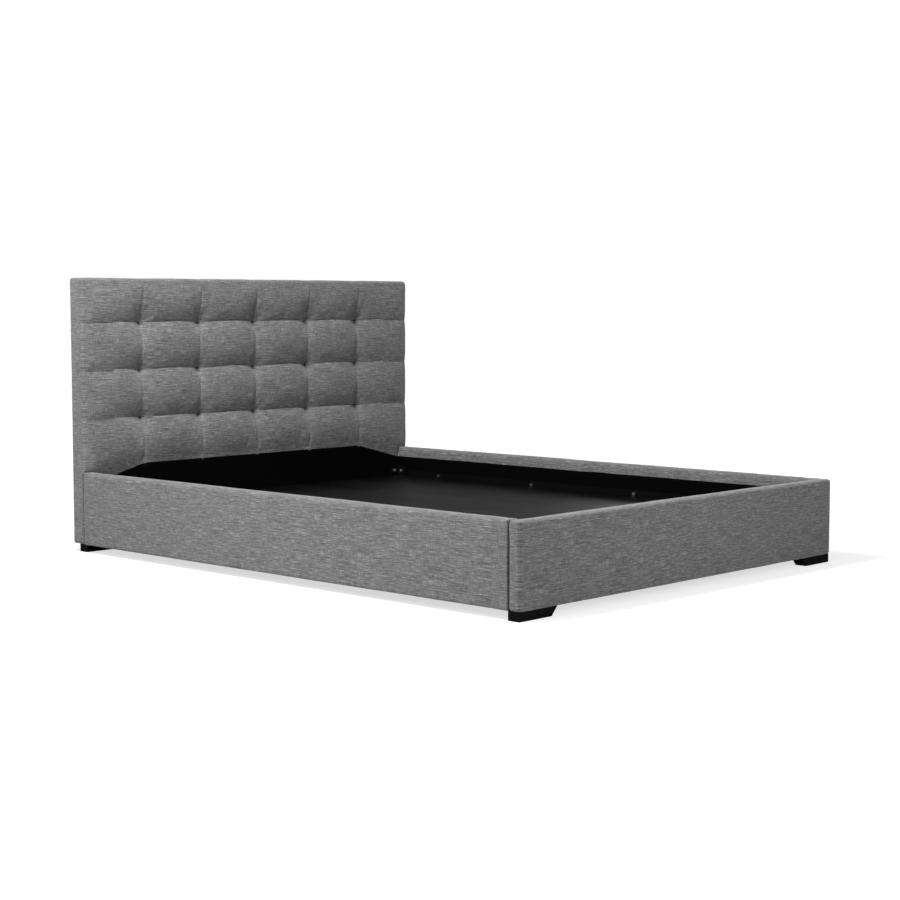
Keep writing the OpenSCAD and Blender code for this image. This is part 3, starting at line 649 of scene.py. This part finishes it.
def run_cloth(cloth, before, weight):
    """Runs the cloth under a light pressure from inside and gives each point's capped movement."""
    pins = cloth.vertex_groups.new(name="pins")
    for value in np.unique(weight[weight > 0]):
        pins.add([int(k) for k in np.flatnonzero(weight == value)], float(value), "REPLACE")
    modifier = cloth.modifiers.new("settle", "CLOTH")
    settings = modifier.settings
    settings.quality = 5
    settings.mass = 0.3
    settings.tension_stiffness = 15
    settings.compression_stiffness = 4
    settings.shear_stiffness = 3
    settings.bending_stiffness = 0.3
    settings.vertex_group_mass = "pins"
    settings.pin_stiffness = 8
    settings.use_pressure = True
    settings.uniform_pressure_force = PRESSURE
    settings.shrink_min = -CLOTH_SLACK
    settings.effector_weights.gravity = 0
    modifier.point_cache.frame_start = 1
    modifier.point_cache.frame_end = SETTLE_FRAMES
    scene = bpy.context.scene
    for number in range(1, SETTLE_FRAMES + 1):
        scene.frame_set(number)
    shape = cloth.evaluated_get(bpy.context.evaluated_depsgraph_get()).to_mesh()
    after = np.empty(len(shape.vertices) * 3)
    shape.vertices.foreach_get("co", after)
    moved = after.reshape(-1, 3) - before
    scene.frame_set(1)
    bpy.data.objects.remove(cloth)
    length = np.linalg.norm(moved, axis=1)
    return moved * np.minimum(1, SETTLE_CAP / np.maximum(length, 1e-9))[:, None]


def sample(xs, zs, field, x, z):
    """The grid's field between its points. A point on the last line counts as just before it."""
    u = np.clip((x - xs[0]) / (xs[1] - xs[0]), 0, len(xs) - 1.001)
    v = np.clip((z - zs[0]) / (zs[1] - zs[0]), 0, len(zs) - 1.001)
    i, j = u.astype(int), v.astype(int)
    a, b = (u - i)[:, None], (v - j)[:, None]
    low = field[i, j] * (1 - a) + field[i + 1, j] * a
    high = field[i, j + 1] * (1 - a) + field[i + 1, j + 1] * a
    return low * (1 - b) + high * b


def headboard_cover():
    r = HEAD_RADIUS
    lo = Vector((HEAD_LO.x, FACE_Y - CREST, HEAD_LO.z))
    hi = Vector((HEAD_HI.x, HEAD_HI.y - 1 * MM, HEAD_HI.z))
    edge = np.linspace(0, r, 6)
    across = graded([lo.x + r, *TUFT_X, hi.x - r], parts=20)
    xs = np.concatenate([lo.x + edge[:-1], across, hi.x - edge[:-1][::-1]])
    rise = graded([lo.z + r, LINING_TOP_Z, *TUFT_Z, hi.z - r], parts=15)
    zs = np.concatenate([lo.z + edge[:-1], rise, hi.z - edge[:-1][::-1]])
    ys = edged(lo.y, hi.y, r, step=9 * MM, arc_parts=5)
    points, quads, uvs = box_grid(xs, ys, zs, 0)
    # One row of the grid follows the lining's slanting ends
    reach = np.where(points[:, 2] < LINING_TOP_Z, LINING_TOP_Z - lo.z - r, TUFT_Z[0] - LINING_TOP_Z)
    follow = 1 - smoothstep(np.abs(points[:, 2] - LINING_TOP_Z) / reach)
    drop = (lining_edge(points[:, 0]) - LINING_TOP_Z) * follow
    points[:, 2] += drop
    uvs[..., 1] += drop[quads]
    x, z = points[:, 0], points[:, 2]
    back_share = (points[:, 1] - lo.y) / (hi.y - lo.y)
    backwards = smoothstep(back_share)
    radius = r + (BACK_RADIUS - r) * backwards
    on_timber = 1 - smoothstep((z - lo.z - 20 * MM) / (60 * MM))
    on_timber *= 1 - smoothstep((np.abs(x) - hi.x + 11 * MM) / (8 * MM))
    radius += (LOW_RADIUS - radius) * on_timber
    placed, out = rounded(points, lo, hi, radius[:, None])
    facing = np.clip(-out[:, 1], 0, 1)
    depth = face_depth(x, z)
    low = smoothstep((z - RAIL_HI.z) / (30 * MM))
    # The rails' ends press on the face beside the lining
    pressed = smoothstep((RAIL_HI.z + 5 * MM - z) / (9 * MM))
    pressed *= smoothstep((np.abs(x) + RAIL_INNER_X + 5 * MM) / (7 * MM))
    depth = np.maximum(depth, pressed * PRESS_DEPTH)
    placed[:, 1] += depth * facing
    # The sides and the top are drawn in a little at each row and column
    rows = sum(np.exp(-np.abs(z - tuft_z) / SIDE_NIP_REACH) for tuft_z in TUFT_Z)
    columns = sum(np.exp(-np.abs(x - tuft_x) / TOP_NIP_REACH) for tuft_x in TUFT_X)
    side = np.abs(out[:, 0])
    fade = 1 - NIP_FADE * backwards
    placed[:, 0] -= np.sign(out[:, 0]) * side * rows * SIDE_NIP * fade
    placed[:, 2] -= np.clip(out[:, 2], 0, 1) * columns * TOP_NIP * fade
    # The side faces are padded: they crown between their edges and taper towards the back
    middle = np.sin(math.pi * np.clip(back_share, 0, 1))
    placed[:, 0] += np.sign(out[:, 0]) * (side**4 * middle * EDGE_CROWN - side * SIDE_TAPER * backwards)
    placed[:, 2] += np.clip(out[:, 2], 0, 1) ** 4 * middle * EDGE_CROWN
    placed[:, 2] += arch(x, z) * facing * low
    soft = sum(wobble(points, length, seed) * size for length, seed, size in SOFT_UNEVEN)
    placed += out * (soft * low * (1 - np.clip(out[:, 1], 0, 1)))[:, None]
    # What the cloth simulation adds between the tufts
    field_x, field_z, moved = settled_face()
    within = (z > LINING_SIDE_Z) * smoothstep((z - lining_edge(x)) / (10 * MM))
    placed += sample(field_x, field_z, moved, x, z) * (facing * within)[:, None]
    obj = make_mesh("headboard_cover_padded", placed, quads, uvs)
    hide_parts("headboard_cover", "headboard_padding")
    finish_piece(obj, LINEN)


# ------------------------------------------------------------------ headboard lining and back


NOTCH_W = 9 * MM      # each column's pull dips the lining's edge over this half width
NOTCH_H = 5 * MM
SWAG_H = 1.5 * MM     # and the edge rises this much between two columns
CLOTH_T = 0.8 * MM    # thickness of the black linings
BACK_CLOTH_T = 1.2 * MM
BACK_RIM = 12 * MM    # over which the back cover rises from its stitched edge
BACK_PUFF = 1.6 * MM  # how far it rises there
BACK_SINK = 1.0 * MM  # how far it sinks again towards its middle


def headboard_lining():
    """Black cloth across the bottom of the face, stapled under the cover's lower edge."""
    xs = graded([LINING_LO.x, *TUFT_X, LINING_HI.x], parts=12, power=1.3)
    steps = np.linspace(0, 1, 34) ** 0.85
    top = lining_edge(xs)
    notch = sum(np.exp(-(((xs - tuft_x) / NOTCH_W) ** 2)) for tuft_x in TUFT_X)
    swag = np.abs(np.sin(math.pi * (xs - TUFT_X[0]) / (TUFT_X[1] - TUFT_X[0])))
    top = top - NOTCH_H * notch + SWAG_H * swag * (np.abs(xs) < TUFT_X[-1])
    z = LINING_LO.z + steps[None, :] * (top - LINING_LO.z)[:, None]
    x = np.repeat(xs[:, None], len(steps), axis=1)
    flat = np.stack([x.ravel(), np.zeros(x.size), z.ravel()], -1)
    y = FACE_Y - 0.2 * MM + wobble(flat, scale=0.3, seed=8) * 0.25 * MM
    y = y.reshape(x.shape)
    points = np.stack([x, y, z], -1)
    obj = sheet_mesh("headboard_lining_cloth", points, np.stack([x, z], -1), CLOTH_T)
    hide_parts("headboard_lining")
    finish_piece(obj, BLACK_LINING)


def headboard_back():
    """Grey back cover, hand-stitched over the turned edge of the front cover."""
    lo, hi = BACK_LO, BACK_HI
    xs = edged(lo.x, hi.x, radius=10 * MM, step=24 * MM)
    zs = edged(lo.z, hi.z, radius=10 * MM, step=24 * MM)
    x, z = np.meshgrid(xs, zs, indexing="ij")
    flat = np.stack([x.ravel(), np.zeros(x.size), z.ravel()], -1)
    inset = np.minimum(np.minimum(x - lo.x, hi.x - x), np.minimum(z - lo.z, hi.z - z))
    puff = BACK_PUFF * smoothstep(inset / BACK_RIM) - BACK_SINK * smoothstep((inset - 30 * MM) / 0.2)
    y = hi.y - 0.6 * MM + puff + (wobble(flat, scale=0.5, seed=5) * 0.5 * MM).reshape(x.shape)
    points = np.stack([x, y, z], -1)[:, ::-1]
    uv = np.stack([x, z], -1)[:, ::-1]
    obj = sheet_mesh("headboard_back_cloth", points, uv, BACK_CLOTH_T)
    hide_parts("headboard_back_cover")
    finish_piece(obj, LINEN)


DOME_SHARE = 0.8      # the covered dome's radius, as a share of the button's
DOME_H = 3 * MM
DOME_TIP = 0.2 * MM
DOME_SINK = 2.2 * MM  # how far the dome's rim lies behind the tuft's bottom


def tuft_buttons():
    """Cloth-covered domed buttons, each sunk in its tuft."""
    rings = 7
    segments = 24
    points, faces = [], []
    for tuft_x in TUFT_X:
        for tuft_z in TUFT_Z:
            base = len(points)
            seat = front_y(np.array([tuft_x]), np.array([tuft_z]))[0]
            for ring in range(rings):
                t = ring / (rings - 1)
                radius = DOME_TIP
                if ring < rings - 1:
                    radius = DOME_SHARE * BUTTON_R * math.cos(t * math.pi / 2) ** 0.7
                height = DOME_H * math.sin(t * math.pi / 2)
                for k in range(segments):
                    turn = 2 * math.pi * k / segments
                    x = tuft_x + radius * math.cos(turn)
                    z = tuft_z + radius * math.sin(turn)
                    points.append((x, seat + DOME_SINK - height, z))
            for ring in range(rings - 1):
                for k in range(segments):
                    a = base + ring * segments + k
                    b = base + ring * segments + (k + 1) % segments
                    faces.append((a, b, b + segments, a + segments))
            last = base + (rings - 1) * segments
            faces.append(tuple(last + k for k in range(segments)))
            faces.append(tuple(base + k for k in reversed(range(segments))))
    uvs = [(points[k][0], points[k][2]) for face in faces for k in face]
    obj = make_mesh("tuft_buttons_covered", np.array(points), faces, uvs)
    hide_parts("tuft_buttons")
    finish_piece(obj, LINEN)


# ------------------------------------------------------------------ rails

RAIL_RADIUS = 14 * MM    # of a padded rail's top edges
BOTTOM_RADIUS = 6 * MM   # of its bottom edges
BUTT_RADIUS = 3.5 * MM   # of the side rails' ends, which butt against the foot rail and the headboard
CORNER_RADIUS = 10 * MM  # of the foot rail's ends
FOOT_SEAM = 2.4 * MM     # open seam between a side rail's cover and the foot rail
HEAD_SEAM = 3 * MM       # and between it and the headboard
RAIL_SAG = 1.5 * MM      # how far the cloth under a rail hangs below its board
END_RUN = 45 * MM        # over which a rail's end takes on its own radius
DRAWN_RUN = 55 * MM      # over which its cloth is drawn in towards the end
DRAWN_IN = 0.8 * MM      # and how far
TOP_WAVE = 1.6 * MM      # height of the waves along its top
TOP_CROWN = 1.0 * MM     # how far the padding lifts that top
FACE_CROWN = 1.6 * MM    # how full the outer face is at half height
HEM_STEP = 1.6 * MM      # how much further back the cover lies where the lining hides it
INNER_WAVE = 0.8 * MM    # height of the waves on the inner face above the lining

# Soft unevenness of a rail's cover: wave length, what is added to the rail's seed, and height
RAIL_UNEVEN = ((0.22, 1, 0.5 * MM), (0.05, 2, 0.15 * MM))


def rail_waves(points, along, seed):
    """Soft unevenness of a padded rail's crest."""
    line = points.copy()
    line[:, 1 - along] = 0
    line[:, 2] = 0
    return wobble(line, scale=1.1, seed=seed, octaves=2)


def padded_rail(name, lo, hi, along, inner_sign, seed, end_radius):
    """A rail wrapped in padding and cloth. inner_sign is the way to its inner face, across."""
    across = 1 - along
    r = RAIL_RADIUS
    lines = [None, None, edged(lo[2], hi[2], r, step=9 * MM, arc_parts=6)]
    lines[along] = edged(lo[along], hi[along], r, step=12 * MM, arc_parts=7)
    lines[across] = edged(lo[across], hi[across], r, step=4 * MM, arc_parts=6)
    points, quads, uvs = box_grid(*lines, along)
    end_gap = np.minimum(points[:, along] - lo[along], hi[along] - points[:, along])
    height = (points[:, 2] - lo[2]) / (hi[2] - lo[2])
    full = BOTTOM_RADIUS + (r - BOTTOM_RADIUS) * smoothstep(height * 2)
    radius = end_radius + (full - end_radius) * smoothstep(end_gap / END_RUN)
    placed, out = rounded(points, lo, hi, radius[:, None])
    waves = rail_waves(points, along, seed)
    up = np.clip(out[:, 2], 0, 1)
    drawn = 1 - smoothstep(end_gap / DRAWN_RUN)
    placed[:, 2] += up * (TOP_WAVE * waves * (1 - drawn) - DRAWN_IN * drawn + TOP_CROWN)
    outer = np.clip(-inner_sign * out[:, across], 0, 1)
    inner = np.clip(inner_sign * out[:, across], 0, 1)
    crown = np.sin(math.pi * np.clip(height, 0, 1)) ** 0.6 * (1 - 0.5 * drawn)
    placed[:, across] -= inner_sign * outer**2 * crown * FACE_CROWN
    below = 1 - smoothstep((points[:, 2] - LINING_SIDE_Z + 2 * MM) / (3 * MM))
    placed[:, across] -= inner_sign * inner * below * HEM_STEP
    placed[:, across] += inner_sign * inner * (1 - below) * INNER_WAVE * (0.5 + waves)
    soft = sum(wobble(points, length, seed + more) * size for length, more, size in RAIL_UNEVEN)
    placed += out * (soft * (1 - inner))[:, None]
    return make_mesh(name, placed, quads, uvs)


def side_rail(side, sign):
    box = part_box(f"side_rail_cover_{side}")
    lo = np.array([box[0].x, box[0].y + FOOT_SEAM, box[0].z - RAIL_SAG])
    hi = np.array([box[1].x, box[1].y - HEAD_SEAM, box[1].z])
    obj = padded_rail(f"side_rail_{side}_padded", lo, hi, 1, -sign, 20 + sign, BUTT_RADIUS)
    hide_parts(f"side_rail_cover_{side}", f"side_rail_padding_{side}")
    finish_piece(obj, LINEN)


def foot_rail():
    lo = np.array([FOOT_LO.x, FOOT_LO.y, FOOT_LO.z - RAIL_SAG])
    hi = np.array([FOOT_HI.x, FOOT_HI.y, FOOT_HI.z])
    obj = padded_rail("foot_rail_padded", lo, hi, 0, 1, 31, CORNER_RADIUS)
    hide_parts("foot_rail_cover", "foot_rail_padding")
    finish_piece(obj, LINEN)


def rail_lining(name, node, along, face, start, end, toward):
    """Black cloth on a rail's inner face. face is its plane, toward the way into the bed."""
    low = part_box(node)[0]
    runs = np.linspace(start, end, 90)
    rises = np.linspace(low.z + 2 * MM, LINING_SIDE_Z + 1 * MM, 22)
    run, rise = np.meshgrid(runs, rises, indexing="ij")
    flat = np.stack([run.ravel(), np.full(run.size, face), rise.ravel()], -1)
    ripple = (wobble(flat, scale=0.35, seed=len(name)) * 0.35 * MM).reshape(run.shape)
    top = rise == rises[-1]
    rise = rise + top * (wobble(flat, scale=0.2, seed=9) * 1.2 * MM).reshape(run.shape)
    across = face + toward * ripple * 0.5
    place = [None, None, rise]
    place[along], place[1 - along] = run, across
    points = np.stack(place, -1)
    uv = np.stack([run, rise], -1)
    if (toward > 0) == (along == 0):
        points, uv = points[:, ::-1], uv[:, ::-1]
    obj = sheet_mesh(name, points, uv, CLOTH_T)
    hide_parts(node)
    finish_piece(obj, BLACK_LINING)


# ------------------------------------------------------------------ deck


DECK_TURN = 12 * MM  # height of the deck cloth's turned-down edge
DECK_CLOTH_T = 0.6 * MM


def past_both(lo, hi):
    """Grid lines over the deck from lo to hi, with one more just past each edge."""
    inner = edged(lo, hi, radius=6 * MM, step=20 * MM)
    return np.concatenate([[lo - 1 * MM], inner, [hi + 1 * MM]])


def deck_cloth():
    """Black cloth pulled over the deck panels and turned down at their edges."""
    xs = past_both(DECK_LO.x, DECK_HI.x)
    ys = past_both(DECK_LO.y, DECK_HI.y)
    x, y = np.meshgrid(xs, ys, indexing="ij")
    flat = np.stack([x.ravel(), y.ravel(), np.zeros(x.size)], -1)
    inset = np.minimum(np.minimum(x - xs[1], xs[-2] - x), np.minimum(y - ys[1], ys[-2] - y))
    joints = [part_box("joist_2"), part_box("joist_3")]
    seams = sum(np.exp(-(((y - (j[0].y + j[1].y) / 2) / (5 * MM)) ** 2)) for j in joints)
    ripple = wobble(flat * np.array([1, 0.4, 1]), scale=0.35, seed=12) * 0.35 * MM
    ripple = ripple.reshape(x.shape)
    z = DECK_HI.z - 0.4 * MM + ripple * smoothstep(inset / 0.05) - seams * 0.5 * MM
    z = np.where(inset < 0, DECK_HI.z - DECK_TURN, z)
    points = np.stack([x, y, z], -1)
    obj = sheet_mesh("deck_cloth_stretched", points, np.stack([x, y], -1), DECK_CLOTH_T)
    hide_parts("deck_cloth")
    finish_piece(obj, DECK_CLOTH)


# ------------------------------------------------------------------ CAD nodes that stay

NODE_MATERIALS = [
    (("front_foot", "head_foot"), FOOT_LACQUER),
    (("ledger_left", "ledger_right", "corner_bracket", "beam_hanger"), POWDER_COAT),
    (("corner_bolts", "ledger_bolts", "foot_screws", "beam_screws", "centre_leg_screws"), ZINC),
    (("centre_leg", "levelling_glide"), LEG_PLASTIC),
    (("headboard_stile", "headboard_block"), TIMBER_Z),
    (("headboard_top_rail", "headboard_middle_rail", "headboard_bottom_rail", "joist"), TIMBER_X),
    (("centre_beam", "side_rail_board"), TIMBER_Y),
    (("headboard_panel", "foot_rail_board", "deck_panel"), BOARD),
    (("headboard_padding", "side_rail_padding", "foot_rail_padding"), FOAM),
]


def dress_cad_nodes():
    """Gives each CAD node its material, and cloth to those that have none in the list."""
    for name, obj in nodes.items():
        chosen = LINEN if "cover" in name else BLACK_LINING
        for starts, material in NODE_MATERIALS:
            if name.startswith(starts):
                chosen = material
                break
        dress(obj, chosen)


def soften_edges(name, width):
    """Rounds a CAD node's sharp edges a little."""
    bevel = nodes[name].modifiers.new("soft_edges", "BEVEL")
    bevel.width = width
    bevel.segments = 2
    bevel.limit_method = "ANGLE"
    bevel.harden_normals = False


# ------------------------------------------------------------------ stage

CAMERA_AT = Vector((-4.616, -4.377, 0.905))
CAMERA_YAW = math.radians(46.739)   # from +Y towards +X
CAMERA_PITCH = math.radians(4.716)  # downwards
CAMERA_LENS = 71.9
AMBIENT = 0.16
FLOOR_GLOW = 0.66
FLOOR_HALF = 30                     # half the floor's width
GLOW_REACH = 8.0                    # distance from the bed at which the glow's ramp ends
FOOT_BEVEL = 1.2 * MM
# Each light's place, the point that it faces, its width and height, and its power
LIGHTS = {
    "key": ((-1.8, -0.05, 3.15), (0.1, 0.6, 0.4), (0.7, 0.7), 136),
    "side": ((-3.3, -0.8, 1.8), (-0.8, -0.6, 0.2), (1.2, 1.2), 36),
    "far_side": ((3.3, 1.0, 1.4), (0.8, 0, 0.3), (1.2, 1.2), 16),
    "fill": ((-0.2, -2.7, 0.95), (0, -1, 0.15), (2.0, 0.7), 20),
}


def floor():
    """Pale floor that glows for the camera only, and fades to white away from the bed."""
    steps = np.linspace(-FLOOR_HALF, FLOOR_HALF, 13)
    x, y = np.meshgrid(steps, steps, indexing="ij")
    points = np.stack([x, y, np.zeros_like(x)], -1)
    obj = make_mesh("floor", points.reshape(-1, 3), grid_quads(*x.shape), smooth=False)
    m = Nodes("pale_floor")
    place = m.add("ShaderNodeTexCoord")
    mottle = m.noise(place, "Object", (1, 1, 1), 3, detail=3)
    colour = m.ramp(mottle, "Fac", [(0.3, grey(0.44)), (0.7, grey(0.46))])
    m.link(colour, "Color", m.shader, "Base Color")
    m.set("Roughness", 0.9)
    m.set("Specular IOR Level", 0.1)
    m.set("Emission Color", (1, 1, 1, 1))
    away = m.add("ShaderNodeVectorMath", operation="LENGTH")
    m.link(place, "Object", away, "Vector")
    share = m.math("DIVIDE", (away, "Value"), GLOW_REACH)
    far = m.ramp(share, "Value", [(0.12, grey(FLOOR_GLOW)), (0.6, grey(1.0))])
    path = m.add("ShaderNodeLightPath")
    glow = m.math("MULTIPLY", (path, "Is Camera Ray"), (far, "Color"))
    m.link(glow, "Value", m.shader, "Emission Strength")
    obj.data.materials.append(m.material)


def area_light(name, place, target, size, power):
    data = bpy.data.lights.new(name, "AREA")
    data.shape = "RECTANGLE"
    data.size, data.size_y = size
    data.energy = power
    obj = new_object(name, data)
    obj.location = place
    obj.rotation_euler = (Vector(target) - Vector(place)).to_track_quat("-Z", "Y").to_euler()


def studio():
    """White surround, lights and camera."""
    world = bpy.data.worlds.new("studio")
    world.use_nodes = True
    tree = world.node_tree
    surround = tree.nodes["Background"]
    surround.inputs["Color"].default_value = (1, 1, 1, 1)
    surround.inputs["Strength"].default_value = AMBIENT
    backdrop = tree.nodes.new("ShaderNodeBackground")
    backdrop.inputs["Color"].default_value = (1, 1, 1, 1)
    backdrop.inputs["Strength"].default_value = 1.0
    path = tree.nodes.new("ShaderNodeLightPath")
    choose = tree.nodes.new("ShaderNodeMixShader")
    tree.links.new(path.outputs["Is Camera Ray"], choose.inputs["Fac"])
    tree.links.new(surround.outputs["Background"], choose.inputs[1])
    tree.links.new(backdrop.outputs["Background"], choose.inputs[2])
    tree.links.new(choose.outputs["Shader"], tree.nodes["World Output"].inputs["Surface"])
    bpy.context.scene.world = world
    for name, (place, target, size, power) in LIGHTS.items():
        area_light(name, place, target, size, power)
    camera = bpy.data.cameras.new("camera")
    camera.lens = CAMERA_LENS
    camera.sensor_width = 36
    camera.clip_end = 200
    obj = new_object("camera", camera)
    obj.location = CAMERA_AT
    forward = Vector((
        math.sin(CAMERA_YAW) * math.cos(CAMERA_PITCH),
        math.cos(CAMERA_YAW) * math.cos(CAMERA_PITCH),
        -math.sin(CAMERA_PITCH),
    ))
    obj.rotation_euler = forward.to_track_quat("-Z", "Y").to_euler()
    bpy.context.scene.camera = obj
    bpy.context.scene.view_settings.view_transform = "Standard"


# ------------------------------------------------------------------ build

studio()
floor()
dress_cad_nodes()
for foot in ("front_foot_left", "front_foot_right", "head_foot_left", "head_foot_right"):
    soften_edges(foot, FOOT_BEVEL)
headboard_cover()
headboard_lining()
headboard_back()
tuft_buttons()
side_rail("left", -1)
side_rail("right", 1)
foot_rail()
side_start, side_end = RAIL_LO.y + 0.4 * MM, RAIL_HI.y - 0.4 * MM
for side, toward in (("left", 1), ("right", -1)):
    name, node = f"side_rail_{side}_lining_cloth", f"side_rail_lining_{side}"
    rail_lining(name, node, 1, toward * RAIL_INNER_X, side_start, side_end, toward)
foot_start, foot_end = FOOT_LINING_LO.x + 1 * MM, FOOT_LINING_HI.x - 1 * MM
rail_lining("foot_rail_lining_cloth", "foot_rail_lining", 0, FOOT_HI.y, foot_start, foot_end, 1)
deck_cloth()
